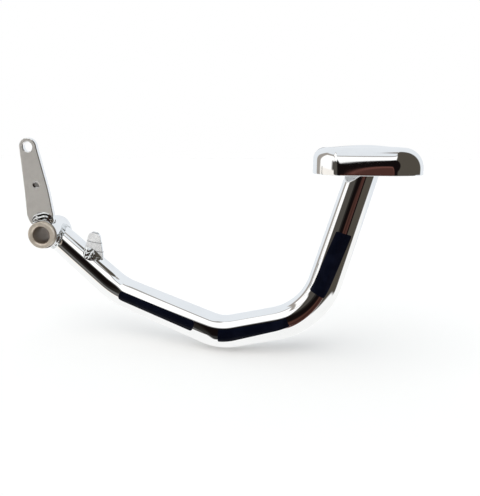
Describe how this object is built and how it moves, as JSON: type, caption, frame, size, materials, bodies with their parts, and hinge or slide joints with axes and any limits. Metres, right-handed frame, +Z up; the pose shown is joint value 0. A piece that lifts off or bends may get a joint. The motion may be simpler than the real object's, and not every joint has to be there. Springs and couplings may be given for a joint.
{
  "type": "rear brake pedal",
  "caption": "Chromed tubular rear brake pedal for a light motorcycle: pivot boss with flanged sleeve, upright rod lever, cranked bent arm and a pressed pan foot pad.",
  "frame": {"origin": "on the pivot axis, halfway along the flanged sleeve", "axes": "+X forward along the pedal from the pivot to the pad, +Y along the pivot axis in towards the motorcycle, +Z up as installed"},
  "size_m": [0.2661, 0.0631, 0.1405],
  "materials": {
    "chrome": "polished chrome plate on steel",
    "bead": "plated weld bead",
    "satin_steel": "satin",
    "sleeve_metal": "bare, turned",
    "label_film": "thin dark film, blank"
  },
  "bodies": {
    "pedal": {"arm_neck": "chrome", "arm_reach": "chrome", "arm_base": "chrome", "arm_elbow": "chrome", "arm_rise": "chrome", "pivot_boss": "chrome", "lever_plate": "satin_steel", "lever_weld": "bead", "arm_weld": "bead", "stop_tab": "chrome", "tab_weld": "bead", "foot_pad": "chrome", "pad_weld": "bead"},
    "sleeve": {"pivot_sleeve": "sleeve_metal"}
  },
  "joints": [
    {"name": "pedal_swing", "type": "hinge", "parent": "pedal", "child": "sleeve", "pos_m": [0, 0, 0], "axis": [0, 1, 0], "continuous": true}
  ]
}
